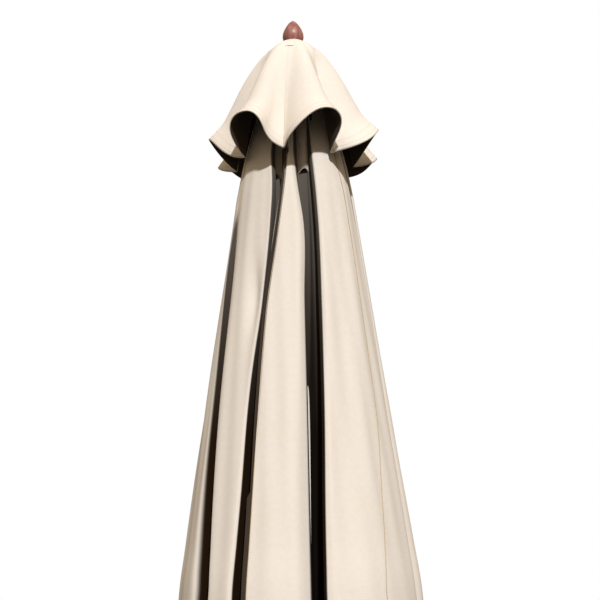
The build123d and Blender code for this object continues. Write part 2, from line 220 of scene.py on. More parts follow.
@dataclass(frozen=True)
class Canvas(Finish):
    """Woven solution-dyed polyester: matt, a faint sheen, warm where light passes through."""

    shade: str = "22160B"  # stands for the want of light deep in a fold
    warm: str = "E9D7B9"
    thread_mm: float = 2.4  # real threads are 0.5 mm; drawn coarser so that the weave shows
    relief_mm: float = 0.10

    def dress(self, tree: bpy.types.NodeTree, shader: bpy.types.Node) -> None:
        """Add thread bands, slow colour drift and painted shade deep in the folds."""
        shader.inputs["Sheen Weight"].default_value = 0.02
        shader.inputs["Sheen Roughness"].default_value = 0.5
        uv = add_node(tree, "ShaderNodeUVMap", uv_map="cloth").outputs["UV"]
        per_metre = 1000 / self.thread_mm
        threads = [
            add_node(
                tree,
                "ShaderNodeTexWave",
                {"Vector": uv, "Scale": per_metre / math.tau, "Distortion": 0.6, "Detail": 1.0},
                bands_direction=side,
            ).outputs["Fac"]
            for side in ("X", "Y")
        ]
        weave = add_node(tree, "ShaderNodeMath", {0: threads[0], 1: threads[1]}, operation="MULTIPLY")
        drift = add_node(tree, "ShaderNodeTexNoise", {"Vector": uv, "Scale": 5.0, "Detail": 4.0})
        slub = add_node(tree, "ShaderNodeTexNoise", {"Vector": uv, "Scale": 90.0, "Detail": 2.0})
        blotch = add_node(
            tree,
            "ShaderNodeMapRange",
            {"Value": drift.outputs["Fac"], "From Min": 0.35, "From Max": 0.7, "To Max": 0.5},
        )
        tone = add_node(
            tree,
            "ShaderNodeMix",
            {0: blotch.outputs["Result"], 6: linear(self.colour), 7: linear(self.warm)},
            data_type="RGBA",
        )
        grain = add_node(
            tree, "ShaderNodeMapRange", {"Value": slub.outputs["Fac"], "To Min": 0.95, "To Max": 1.04}
        )
        thread_tone = add_node(
            tree, "ShaderNodeMapRange", {"Value": weave.outputs[0], "To Min": 0.975, "To Max": 1.01}
        )
        value = add_node(
            tree,
            "ShaderNodeMath",
            {0: grain.outputs["Result"], 1: thread_tone.outputs["Result"]},
            operation="MULTIPLY",
        )
        woven = add_node(
            tree,
            "ShaderNodeVectorMath",
            {0: tone.outputs[2], "Scale": value.outputs[0]},
            operation="SCALE",
        )
        # Painted shade: where the fold shade attribute is high, the colour is mixed towards the shade colour and
        # the specular is cut.
        depth = add_node(tree, "ShaderNodeAttribute", attribute_name="fold_depth")
        dulled = add_node(
            tree, "ShaderNodeMapRange", {"Value": depth.outputs["Fac"], "To Min": 0.25, "To Max": 0.0}
        )
        tree.links.new(dulled.outputs["Result"], shader.inputs["Specular IOR Level"])
        final = add_node(
            tree,
            "ShaderNodeMix",
            {0: depth.outputs["Fac"], 6: woven.outputs[0], 7: linear(self.shade)},
            data_type="RGBA",
        )
        tree.links.new(final.outputs[2], shader.inputs["Base Color"])
        bump = add_node(
            tree,
            "ShaderNodeBump",
            {"Height": weave.outputs[0], "Distance": self.relief_mm * MM, "Strength": 0.6},
        )
        tree.links.new(bump.outputs["Normal"], shader.inputs["Normal"])


@dataclass(frozen=True)
class StainedWood(Finish):
    """Turned or planed hardwood under a satin stain: long dark pores, a soft broad highlight."""

    dark: str = "3A1D18"
    grain_mm: float = 3.5
    coat: float = 0.25

    def dress(self, tree: bpy.types.NodeTree, shader: bpy.types.Node) -> None:
        """Add stretched grain, pores and a satin coat."""
        shader.inputs["Coat Weight"].default_value = self.coat
        shader.inputs["Coat Roughness"].default_value = 0.35
        place = add_node(tree, "ShaderNodeTexCoord").outputs["Object"]
        along_grain = {"Vector": place, "Scale": (1.0, 1.0, 0.06)}
        stretched = add_node(tree, "ShaderNodeMapping", along_grain).outputs["Vector"]
        grain = add_node(
            tree,
            "ShaderNodeTexNoise",
            {"Vector": stretched, "Scale": 1000 / self.grain_mm / 2, "Detail": 6.0, "Roughness": 0.62},
        )
        pores = add_node(tree, "ShaderNodeTexNoise", {"Vector": stretched, "Scale": 1400.0, "Detail": 2.0})
        mixed = add_node(
            tree, "ShaderNodeMapRange", {"Value": grain.outputs["Fac"], "From Min": 0.38, "From Max": 0.66}
        )
        tone = add_node(
            tree,
            "ShaderNodeMix",
            {0: mixed.outputs["Result"], 6: linear(self.dark), 7: linear(self.colour)},
            data_type="RGBA",
        )
        tree.links.new(tone.outputs[2], shader.inputs["Base Color"])
        gloss = add_node(
            tree,
            "ShaderNodeMapRange",
            {"Value": pores.outputs["Fac"], "To Min": self.roughness - 0.08, "To Max": self.roughness + 0.12},
        )
        tree.links.new(gloss.outputs["Result"], shader.inputs["Roughness"])
        bump = add_node(
            tree,
            "ShaderNodeBump",
            {"Height": pores.outputs["Fac"], "Distance": 0.15 * MM, "Strength": 0.5},
        )
        tree.links.new(bump.outputs["Normal"], shader.inputs["Normal"])


@dataclass(frozen=True)
class Speckled(Finish):
    """A fine-grained coat or casting: powder coat, moulded plastic, rubber or cast stone."""

    fleck: str = "000000"
    grain_mm: float = 1.0
    relief_mm: float = 0.08
    metallic: float = 0.0

    def dress(self, tree: bpy.types.NodeTree, shader: bpy.types.Node) -> None:
        """Add flecks of a second tone, an orange-peel relief and a broken gloss."""
        shader.inputs["Metallic"].default_value = self.metallic
        place = add_node(tree, "ShaderNodeTexCoord").outputs["Object"]
        grain = add_node(
            tree, "ShaderNodeTexNoise", {"Vector": place, "Scale": 1000 / self.grain_mm / 2, "Detail": 3.0}
        )
        wear = add_node(tree, "ShaderNodeTexNoise", {"Vector": place, "Scale": 9.0, "Detail": 5.0})
        flecks = add_node(
            tree, "ShaderNodeMapRange", {"Value": grain.outputs["Fac"], "From Min": 0.45, "From Max": 0.7}
        )
        tone = add_node(
            tree,
            "ShaderNodeMix",
            {0: flecks.outputs["Result"], 6: linear(self.colour), 7: linear(self.fleck)},
            data_type="RGBA",
        )
        tree.links.new(tone.outputs[2], shader.inputs["Base Color"])
        gloss = add_node(
            tree,
            "ShaderNodeMapRange",
            {"Value": wear.outputs["Fac"], "To Min": self.roughness - 0.1, "To Max": self.roughness + 0.1},
        )
        tree.links.new(gloss.outputs["Result"], shader.inputs["Roughness"])
        bump = add_node(
            tree,
            "ShaderNodeBump",
            {"Height": grain.outputs["Fac"], "Distance": self.relief_mm * MM, "Strength": 0.6},
        )
        tree.links.new(bump.outputs["Normal"], shader.inputs["Normal"])


@dataclass(frozen=True)
class BrushedMetal(Finish):
    """Plated or drawn metal with fine lines round the pole and a little tarnish."""

    tarnish: str = "4A3A22"
    line_mm: float = 0.6

    def dress(self, tree: bpy.types.NodeTree, shader: bpy.types.Node) -> None:
        """Add brushed lines in the roughness and a dull bloom in the colour."""
        shader.inputs["Metallic"].default_value = 1.0
        place = add_node(tree, "ShaderNodeTexCoord").outputs["Object"]
        round_the_part = {"Vector": place, "Scale": (0.05, 0.05, 1.0)}
        lines = add_node(tree, "ShaderNodeMapping", round_the_part).outputs["Vector"]
        per_metre = 1000 / self.line_mm
        brushed = add_node(tree, "ShaderNodeTexNoise", {"Vector": lines, "Scale": per_metre, "Detail": 2.0})
        bloom = add_node(tree, "ShaderNodeTexNoise", {"Vector": place, "Scale": 25.0, "Detail": 5.0})
        dull = add_node(
            tree,
            "ShaderNodeMapRange",
            {"Value": bloom.outputs["Fac"], "From Min": 0.5, "From Max": 0.8, "To Max": 0.5},
        )
        tone = add_node(
            tree,
            "ShaderNodeMix",
            {0: dull.outputs["Result"], 6: linear(self.colour), 7: linear(self.tarnish)},
            data_type="RGBA",
        )
        tree.links.new(tone.outputs[2], shader.inputs["Base Color"])
        gloss = add_node(
            tree,
            "ShaderNodeMapRange",
            {
                "Value": brushed.outputs["Fac"],
                "To Min": self.roughness - 0.1,
                "To Max": self.roughness + 0.15,
            },
        )
        tree.links.new(gloss.outputs["Result"], shader.inputs["Roughness"])


# The dyed canopy cloth, nearly white in sun. Its back is the same cloth, drawn as dark as deep shade.
CANOPY_CANVAS = Canvas("woven_cream_polyester", "EDE6DE", 0.85, warm="EBE0D1")
CANOPY_BACK_PAINTED_SHADE = Canvas("woven_polyester_back", "40362C", 0.9, warm="352C24")
# Polyester piping along the seams, toned darker than the cloth as painted shade for the shadowed edge of the seam,
# and the bonded thread that closes it.
SEAM_CORD = Speckled("tan_seam_piping", "C2B196", 0.8, fleck="A8967A", grain_mm=0.8)
STITCH_THREAD = Speckled("bonded_cream_thread", "D9C8A8", 0.6, fleck="BFAE8C", grain_mm=0.5)
# Turned hardwood with a dusty red mahogany stain, as on the finial.
FINIAL_WOOD = StainedWood("turned_mahogany_stain", "B47B73", 0.42, dark="8C554D", grain_mm=5.0)
SLOT_FINISHES: dict[str, Finish] = {
    # Planed hardwood poles and ribs under a mahogany stain and a satin varnish.
    "wood": StainedWood("satin_mahogany_hardwood", "8A4B33", 0.4),
    "canopy": CANOPY_CANVAS,
    # Drawn brass sleeve, left to dull.
    "brass": BrushedMetal("dull_drawn_brass", "C9A15A", 0.34),
    # Zinc-plated steel pins, bolts and screws.
    "steel": BrushedMetal("zinc_plated_steel", "BDBDB8", 0.32, tarnish="7C7A74"),
    # Steel under a fine-textured bronze powder coat.
    "bronze_paint": Speckled("bronze_powder_coat", "4B3F36", 0.5, fleck="6A5A4C", grain_mm=0.9),
    # Die-cast aluminium under the same powder coat, a little smoother.
    "alloy": Speckled("coated_die_cast_alloy", "463B33", 0.45, fleck="64564A", grain_mm=0.7),
    # Resin-bound stone cast in a mould, bronze tinted, with pale grit.
    "base": Speckled("cast_resin_stone", "5B4F45", 0.62, fleck="8A7A69", grain_mm=2.6, relief_mm=0.25),
    # Moulded rubber pads.
    "rubber": Speckled("moulded_black_rubber", "1C1B1A", 0.8, fleck="2A2826"),
    # Injection-moulded nylon bushings.
    "plastic": Speckled("moulded_black_nylon", "2B2724", 0.5, fleck="38332F"),
    # Glossier moulded ABS grips.
    "knob": Speckled("moulded_abs_grip", "26211D", 0.35, fleck="332C27", relief_mm=0.05),
}


# --- cloth ------------------------------------------------------------------------------


@dataclass
class Cloth:
    """A grid of points on a sheet's outer face, with its painted shade and thickness."""

    points: np.ndarray
    depth: np.ndarray
    thickness: np.ndarray

    def normals(self) -> np.ndarray:
        """Unit normals of the grid, pointing to the outer face."""
        across = np.gradient(self.points, axis=1)
        down = np.gradient(self.points, axis=0)
        n = np.cross(across, down)
        return -n / np.maximum(np.linalg.norm(n, axis=-1, keepdims=True), 1e-12)

    def mesh(self, name: str) -> bpy.types.Object:
        """Close the sheet into a thin shell: the cloth's finish outside, and painted shade on its back.

        Args:
            name: The new object's name.

        Returns:
            The object, linked to the scene.
        """
        rows, cols = self.points.shape[:2]
        inner = self.points - self.normals() * self.thickness[..., None]
        index = np.arange(rows * cols).reshape(rows, cols)
        corners = [index[:-1, :-1], index[1:, :-1], index[1:, 1:], index[:-1, 1:]]
        quads = np.stack(corners, axis=-1).reshape(-1, 4)
        border = np.concatenate([index[0, :-1], index[:-1, -1], index[-1, :0:-1], index[:0:-1, 0]])
        after = np.roll(border, -1)
        rim = np.stack([border, after, after + rows * cols, border + rows * cols], axis=-1)
        faces = np.concatenate([quads, quads[:, ::-1] + rows * cols, rim])
        made = bpy.data.meshes.new(name)
        places = np.concatenate([self.points.reshape(-1, 3), inner.reshape(-1, 3)])
        made.from_pydata(places, [], faces.tolist())
        slots = np.concatenate([np.zeros(len(quads)), np.ones(len(quads)), np.zeros(len(rim))])
        made.polygons.foreach_set("material_index", slots.astype(np.int32))
        made.polygons.foreach_set("use_smooth", np.arange(len(faces)) < 2 * len(quads))
        self._mark(made)
        made.materials.append(CANOPY_CANVAS.material())
        made.materials.append(CANOPY_BACK_PAINTED_SHADE.material())
        made.update()
        piece = bpy.data.objects.new(name, made)
        bpy.context.scene.collection.objects.link(piece)
        return piece

    def _mark(self, made: bpy.types.Mesh) -> None:
        """Write the cloth UV, in metres along the threads, and the painted fold shade."""
        step = np.linalg.norm(np.diff(self.points, axis=1), axis=-1)
        u = np.concatenate([np.zeros((len(step), 1)), np.cumsum(step, axis=1)], axis=1)
        fall = np.linalg.norm(np.diff(self.points, axis=0), axis=-1).mean(axis=1)
        v = np.concatenate([[0.0], np.cumsum(fall)])[:, None] + 0 * u
        uv = np.tile(np.stack([u - u.mean(axis=1, keepdims=True), v], axis=-1).reshape(-1, 2), (2, 1))
        corner = np.zeros(len(made.loops), np.int32)
        made.loops.foreach_get("vertex_index", corner)
        layer = made.uv_layers.new(name="cloth")
        layer.data.foreach_set("uv", uv[corner].astype(np.float32).ravel())
        # The depth field is painted shade, which the material darkens the cloth by.
        mark = made.attributes.new("fold_depth", "FLOAT", "POINT")
        mark.data.foreach_set("value", np.tile(self.depth.ravel(), 2).astype(np.float32))


@dataclass
class Linkage:
    """The rib and gore hinges of the frame, and where they carry a point when fully open."""

    joints: dict[str, dict] = field(default_factory=lambda: {j["name"]: j for j in frame["joints"]})

    def hub_height(self) -> float:
        """Height of the hub's hinge level."""
        return self.joints["canopy_open"]["pos_m"][2]

    def rib_hinge(self, rib: int) -> dict:
        """The hinge that opens a rib, which the first rib's joint leads."""
        return self.joints["canopy_open" if rib == 0 else f"rib_{rib + 1}_open"]

    def opened(self, rib: int, points: np.ndarray) -> np.ndarray:
        """Points of a rib's body, taken from rest to the open canopy."""
        hinge = self.rib_hinge(rib)
        return turn(hinge["axis"], hinge["range_deg"][1], hinge["pos_m"], points)

    def closed(self, rib: int, points: np.ndarray) -> np.ndarray:
        """Points of an open rib's body, taken back to rest."""
        hinge = self.rib_hinge(rib)
        return turn(hinge["axis"], -hinge["range_deg"][1], hinge["pos_m"], points)

    def unspread(self, gore: int, share: np.ndarray, points: np.ndarray) -> np.ndarray:
        """Points turned back by a share of a gore's full spread, at rest on its rib."""
        hinge = self.joints[f"gore_{gore + 1}_spread"]
        return turn(hinge["axis"], -share * hinge["range_deg"][1], hinge["pos_m"], points)


LINKAGE = Linkage()
HUB_Z = LINKAGE.hub_height()


def seam_point(rib: int, offset: float | np.ndarray, drop: float | np.ndarray) -> np.ndarray:
    """A point on a rib's seam at rest, straight below the hub at a distance off the pole's axis."""
    drop = np.asarray(drop, float)
    return polar(np.full(drop.shape, rib * RIB_STEP), np.asarray(offset) + 0 * drop, HUB_Z - drop)


@dataclass
class OpenTier:
    """One tier of the canopy as it lies when open, blended from rib to rib.

    At rest it is crushed between its ribs and hidden inside the folds, which show instead.
    """

    name: str
    drops: tuple[float, float]
    offset_stations: tuple[float, ...]
    offsets: tuple[float, ...]
    hem_scallop: float
    rows: int
    columns: int = 24
    crown: float = 0.010
    cloth: float = 0.0008

    def offset(self, drop: np.ndarray) -> np.ndarray:
        """Distance of the seam from the pole's axis at rest."""
        return eased(drop, self.offset_stations, self.offsets)

    def gore(self, gore: int) -> Cloth:
        """The rest shape of one open gore.

        Args:
            gore: Number of the gore, from 0.
        """
        across = np.linspace(0, 1, self.columns + 1)[None, :]
        down = np.linspace(0, 1, self.rows + 1)[:, None]
        bow = 4 * across * (1 - across)
        drop = self.drops[0] + down * (self.drops[1] - self.hem_scallop * bow - self.drops[0])
        sides = [
            LINKAGE.opened(rib % RIB_COUNT, seam_point(rib % RIB_COUNT, self.offset(drop), drop))
            for rib in (gore, gore + 1)
        ]
        flat = sides[0] + across[..., None] * (sides[1] - sides[0])
        flat[..., 2] += self.crown * bow * down
        on_rib = LINKAGE.closed(gore, flat)
        start, end = self.blend_line(gore)
        line = end - start
        low, high = np.zeros(drop.shape), np.ones(drop.shape)
        for _ in range(40):
            share = (low + high) / 2
            place = LINKAGE.unspread(gore, share, on_rib)
            t = np.clip((place - start) @ line / (line @ line), 0, 1)
            below = t * t * (3 - 2 * t) > share
            low, high = np.where(below, share, low), np.where(below, high, share)
        points = LINKAGE.unspread(gore, share, on_rib)
        return Cloth(points, np.zeros(drop.shape), np.full(drop.shape, self.cloth))

    def blend_line(self, gore: int) -> tuple[np.ndarray, np.ndarray]:
        """Start and end of the blend, on the two seams a gore spans."""
        offset = self.offsets[-1]
        return seam_point(gore, offset, 0.5), seam_point((gore + 1) % RIB_COUNT, offset, 0.5)

    def build(self) -> list[bpy.types.Object]:
        """Make the eight gores and blend each across its hinge."""
        made = []
        for gore in range(RIB_COUNT):
            piece = self.gore(gore).mesh(f"{self.name}_{gore + 1}")
            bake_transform(piece)
            made.append(piece)
        return made


OPEN_TIERS = (
    OpenTier(
        name="main_fan",
        drops=(0.15, 1.365),
        offset_stations=(0.15, 1.4),
        offsets=(0.062, 0.062),
        hem_scallop=0.015,
        rows=48,
    ),
    OpenTier(
        name="vent_fan",
        drops=(0.015, 0.335),
        offset_stations=(0.015, 0.05, 0.10, 0.35),
        offsets=(0.0615, 0.069, 0.077, 0.078),
        hem_scallop=0.006,
        rows=18,
    ),
)


def squash_frame(gore: int, offset: float, lean: float) -> tuple[tuple, tuple]:
    """A plane just under a gore's open tier.

    Args:
        gore: Number of the gore, from 0.
        offset: Distance of the plane from the pole's axis at rest, at the hub's level.
        lean: How much farther off it stands for each metre of drop.

    Returns:
        The plane's axis and anchor, in the row frame at rest.
    """
    after = (gore + 1) % RIB_COUNT
    reach = 1.0
    near, far = (LINKAGE.opened(rib, seam_point(rib, offset, 0.0)) for rib in (gore, after))
    near_end, far_end = (
        LINKAGE.opened(rib, seam_point(rib, offset + lean * reach, reach)) for rib in (gore, after)
    )
    across = (far_end - near_end) / np.linalg.norm(far_end - near_end)
    along = (near_end + far_end - near - far) / 2
    normal = np.cross(along, across)
    normal *= np.sign(normal[2])
    tip = LINKAGE.closed(after, far + normal / np.linalg.norm(normal))
    root = LINKAGE.closed(after, far)
    return tuple(tip - root), tuple(root)


@dataclass
class Stitcher:
    """A sewing machine's lockstitch: short bright dashes of thread laid along a path."""

    pitch: float = 0.0052
    length: float = 0.0036
    thread: float = 0.0007
    sway: float = 0.05

    def tree(self) -> bpy.types.NodeTree:
        """The node tree that lays the stitches, made once."""
        known = bpy.data.node_groups.get("lockstitch")
        if known is not None:
            return known
        tree = bpy.data.node_groups.new("lockstitch", "GeometryNodeTree")
        tree.interface.new_socket("Path", in_out="INPUT", socket_type="NodeSocketGeometry")
        for name in ("Pitch", "Stitch Length", "Thread", "Sway"):
            tree.interface.new_socket(name, in_out="INPUT", socket_type="NodeSocketFloat")
        tree.interface.new_socket("Seed", in_out="INPUT", socket_type="NodeSocketInt")
        tree.interface.new_socket("Stitches", in_out="OUTPUT", socket_type="NodeSocketGeometry")
        given = add_node(tree, "NodeGroupInput").outputs
        line = add_node(tree, "GeometryNodeMeshToCurve", {"Mesh": given["Path"]}).outputs["Curve"]
        spaced = add_node(
            tree, "GeometryNodeResampleCurve", {"Curve": line, "Length": given["Pitch"]}, mode="LENGTH"
        )
        along = add_node(tree, "GeometryNodeInputTangent").outputs["Tangent"]
        less = add_node(tree, "ShaderNodeMath", {0: given["Sway"], 1: -1.0}, operation="MULTIPLY").outputs[0]
        stray = add_node(
            tree,
            "FunctionNodeRandomValue",
            {"Min": less, "Max": given["Sway"], "Seed": given["Seed"]},
            data_type="FLOAT_VECTOR",
        )
        aim = add_node(
            tree, "ShaderNodeVectorMath", {0: along, 1: stray.outputs["Value"]}, operation="ADD"
        ).outputs["Vector"]
        turned = add_node(tree, "FunctionNodeAlignRotationToVector", {"Vector": aim}, axis="Z")
        size = add_node(
            tree,
            "ShaderNodeCombineXYZ",
            {"X": given["Thread"], "Y": given["Thread"], "Z": given["Stitch Length"]},
        ).outputs["Vector"]
        bead = add_node(tree, "GeometryNodeMeshIcoSphere", {"Radius": 0.5, "Subdivisions": 1}).outputs["Mesh"]
        laid = add_node(
            tree,
            "GeometryNodeInstanceOnPoints",
            {
                "Points": spaced.outputs["Curve"],
                "Instance": bead,
                "Rotation": turned.outputs["Rotation"],
                "Scale": size,
            },
        )
        real = add_node(tree, "GeometryNodeRealizeInstances", {"Geometry": laid.outputs["Instances"]})
        finished = add_node(
            tree,
            "GeometryNodeSetMaterial",
            {"Geometry": real.outputs["Geometry"], "Material": STITCH_THREAD.material()},
        )
        add_node(tree, "NodeGroupOutput", {"Stitches": finished.outputs["Geometry"]})
        return tree

    def sew(self, name: str, rows: Sequence[np.ndarray], seed: int) -> bpy.types.Object:
        """Sew rows of stitches and bake them to one plain mesh.

        Args:
            name: The new object's name.
            rows: Paths of the rows, each as (points, 3).
            seed: Seed of the stitches' small sway.

        Returns:
            The thread, as one mesh.
        """
        starts = np.cumsum([0, *(len(row) for row in rows)])
        edges = [(k, k + 1) for row, at in zip(rows, starts) for k in range(at, at + len(row) - 1)]
        path = bpy.data.meshes.new(name + "_path")
        path.from_pydata(np.concatenate(rows).tolist(), edges, [])
        carrier = bpy.data.objects.new(name + "_path", path)
        bpy.context.scene.collection.objects.link(carrier)
        tree = self.tree()
        modifier = carrier.modifiers.new("lockstitch", "NODES")
        modifier.node_group = tree
        socket = {s.name: s.identifier for s in tree.interface.items_tree if s.in_out == "INPUT"}
        for title, value in (
            ("Pitch", self.pitch),
            ("Stitch Length", self.length),
            ("Thread", self.thread),
            ("Sway", self.sway),
            ("Seed", seed),
        ):
            modifier[socket[title]] = value
        seen = carrier.evaluated_get(bpy.context.evaluated_depsgraph_get())
        made = bpy.data.meshes.new_from_object(seen)
        made.name = name
        carrier.modifiers.remove(modifier)
        bpy.data.objects.remove(carrier)
        bpy.data.meshes.remove(path)
        piece = bpy.data.objects.new(name, made)
        bpy.context.scene.collection.objects.link(piece)
        return piece


STITCHER = Stitcher()


@dataclass(frozen=True)
class Pleat:
    """A gap between two lobes of gathered cloth, read at the bundle's stations from top to bottom.

    The centre is degrees round from the middle of its gore; the width is half the mouth, in degrees.
    """

    centre: tuple[float, ...]
    width: tuple[float, ...]
    floor: tuple[float, ...] = (0.086, 0.085, 0.084, 0.082, 0.078, 0.074, 0.072)


@dataclass(frozen=True)
class Seam:
    """Where a rib's seam lies on its lobe, degrees round from the rib, and how deep it is tucked."""

    drift: tuple[float, ...]
    tuck: tuple[float, ...] = (0.0, 0.0, 0.0, 0.0, 0.0, 0.0, 0.0)
    tuck_width: float = 3.4
    left_shoulder: tuple[float, float] = (0.012, 0.024)
    right_shoulder: tuple[float, float] = (0.018, 0.034)


# Drops at which the pleats and seams of the bundle are given.
STATIONS = (0.26, 0.34, 0.42, 0.61, 0.83, 1.03, 1.21)
# Height of a thread's centre line over the cloth.
THREAD_LIFT = 0.0003
# Radius inside which the hidden folds are given no depth.
CORE_RADIUS = 0.115


@dataclass
class ClosedMain:
    """The main canopy gathered closed: eight lobes over the ribs with deep pleats between them."""

    top_drop: float = 0.125
    hem_drop: float = 1.300
    pleat_hem_drop: float = 1.265
    rows: int = 96
    per_span: int = 7
    cloth: float = 0.0012
    hem_width: float = 0.022
    stitch_columns: int = 3
    dent_at: tuple[float, float] = (247.0, 0.60)
    dent_size: tuple[float, float] = (5.0, 0.075)
    dent_depth: float = 0.011
    least_fold: float = 0.010
    sunk_from: float = 0.034
    sunk_over: float = 0.035
    plane_offset: float = 0.0592
    fullness: tuple[float, ...] = (1.2, 1.0, 0.9, 0.9, 1.0, 0.42, 1.2, 0.42)
    seams: tuple[Seam, ...] = (
        Seam((12, 14, 15, 15, 14, 13, 12)),
        Seam((5, 6, 6, 7, 6, 5, 4)),
        Seam((0, -1, -2, 0, 1, 2, 1)),
        Seam((-5, -6, -6, -5, -3, -4, -5)),
        Seam((-8, -9, -10, -9, -9, -8, -9)),
        Seam(
            (-12, -13, -13, -9.5, -6, -1, 4),
            tuck=(0, 0.002, 0.008, 0.02, 0.05, 0.08, 0.10),
            tuck_width=4.4,
            right_shoulder=(0.006, 0.014),
        ),
        Seam(
            (1, -1.5, -5, -12, -14, -14.2, -14.4),
            tuck=(0.005, 0.008, 0.010, 0.008, 0.002, 0, 0),
            tuck_width=1.1,
            right_shoulder=(0.030, 0.044),
        ),
        Seam((14, 17, 18, 19, 18, 12, 6), left_shoulder=(0.010, 0.022)),
    )
    pleats: tuple[Pleat, ...] = (
        Pleat((9, 10, 11, 12, 13, 12, 11), (4, 3, 2.6, 2.2, 2.0, 2.6, 2.8)),
        Pleat((2, 2, 2, 0, -2, 1, 3), (4, 3, 2.0, 3.0, 4.2, 3.5, 3.0)),
        Pleat((-3, -4, -4, -3, -1, -2, -4), (6, 5, 4.5, 3.8, 3.0, 3.4, 3.8)),
        Pleat((-4, -5, -5, -7, -8, -6, -6), (5, 3, 2.2, 2.0, 3.5, 3.2, 2.6)),
        Pleat((-14, -15, -16, -16, -15, -15, -14), (5, 4, 3.0, 2.4, 2.2, 3.0, 3.4)),
        Pleat((13.6, 14.0, 11.8, 7.8, 5.0, 4.8, 4.5), (7.2, 3.6, 1.4, 0.8, 3.2, 3.3, 3.6)),
        Pleat(
            (-4, -1.5, 1, -0.3, -1.8, -3.2, -4),
            (9.0, 7.6, 5.6, 5.3, 4.2, 3.2, 2.6),
            floor=(0.088, 0.092, 0.096, 0.105, 0.10, 0.085, 0.075),
        ),
        Pleat((17, 18, 19, 19.5, 19.5, 19.5, 19), (3.4, 2.4, 1.8, 1.6, 1.6, 1.8, 2.0)),
    )

    def radius(self, drop: np.ndarray) -> np.ndarray:
        """Outer radius of the bundle: slim under the vent, widest above the hem, drawn in below."""
        spread = 0.087 + 0.1445 * drop
        under_vent = eased(drop, (0.10, 0.16, 0.26, 0.34), (0.082, 0.096, 0.1205, 0.1361))
        lower = eased(drop, (1.12, 1.22, 1.26, 1.29, 1.31), (0.2488, 0.2633, 0.2660, 0.2645, 0.2575))
        return np.where(drop < 0.34, under_vent, np.where(drop > 1.12, lower, spread))

    def outline(self, lobe: int, drop: np.ndarray) -> tuple[np.ndarray, int]:
        """Control points round one lobe, from the floor of the pleat before it to the one after.

        Args:
            lobe: Number of the rib under the lobe, from 0.
            drop: Drop of each row, as (rows,).

        Returns:
            Control points as (rows, points, 3), azimuth, radius and painted shade from 0 to 1, and the
            seam's place among them.
        """
        before, after, seam = self.pleats[lobe - 1], self.pleats[lobe], self.seams[lobe]
        rib = lobe * RIB_STEP
        outer = self.radius(drop)
        middle = rib + eased(drop, STATIONS, seam.drift)
        tuck = eased(drop, STATIONS, seam.tuck)
        width = np.where(tuck > 0, seam.tuck_width, 2.4) * np.clip(0.2 / outer, 0.7, 1.0)
        sides = []
        for pleat, way, shoulder in ((before, 1, seam.left_shoulder), (after, -1, seam.right_shoulder)):
            centre = rib - way * RIB_STEP / 2 + eased(drop, STATIONS, pleat.centre)
            wall = eased(drop, STATIONS, pleat.width)
            floor = np.minimum(eased(drop, STATIONS, pleat.floor), outer - 0.006)
            sides.append((centre, wall, floor, way, way * (middle - centre) - wall, shoulder))
        across = sides[0][4] + sides[1][4]
        walls = []
        for centre, wall, floor, way, space, shoulder in sides:
            behind = np.where(tuck > 0.03, 0.62 * space, 0.80 * across)
            wanted = self.fullness[lobe] * np.clip(outer - CORE_RADIUS, 0, None) + self.least_fold
            reach = np.minimum(wanted * np.degrees(1 / outer), behind)
            walls.append(self._side(centre, wall, floor, way, outer, space, shoulder, reach))
        (left, left_space), (right, right_space) = walls
        face = []
        # Where a seam is tucked, its face is marked for painted shade, fully where the tuck is deep.
        dark = np.clip(tuck / 0.012, 0, 1)
        for azimuth, radius, depth in (
            (middle - 0.42 * left_space - 0.6 * width, outer, 0.0),
            (middle - 0.15 * left_space - 1.2 * width, outer, 0.0),
            (middle - 1.35 * width, outer - 0.02 * tuck, 0.35),
            (middle - 0.95 * width, outer - 0.25 * tuck, 1.0),
            (middle - 0.70 * width, outer - 0.85 * tuck, 1.0),
            (middle, outer - 1.0 * tuck, 1.0),
            (middle + 0.70 * width, outer - 0.85 * tuck, 1.0),
            (middle + 0.95 * width, outer - 0.25 * tuck, 1.0),
            (middle + 1.35 * width, outer - 0.02 * tuck, 0.35),
            (middle + 0.15 * right_space + 1.2 * width, outer, 0.0),
            (middle + 0.42 * right_space + 0.6 * width, outer, 0.0),
        ):
            face.append(np.stack([azimuth, radius, depth * dark], axis=-1))
        control = np.stack([*left, *face, *right[::-1]], axis=1)
        return control, len(left) + 5

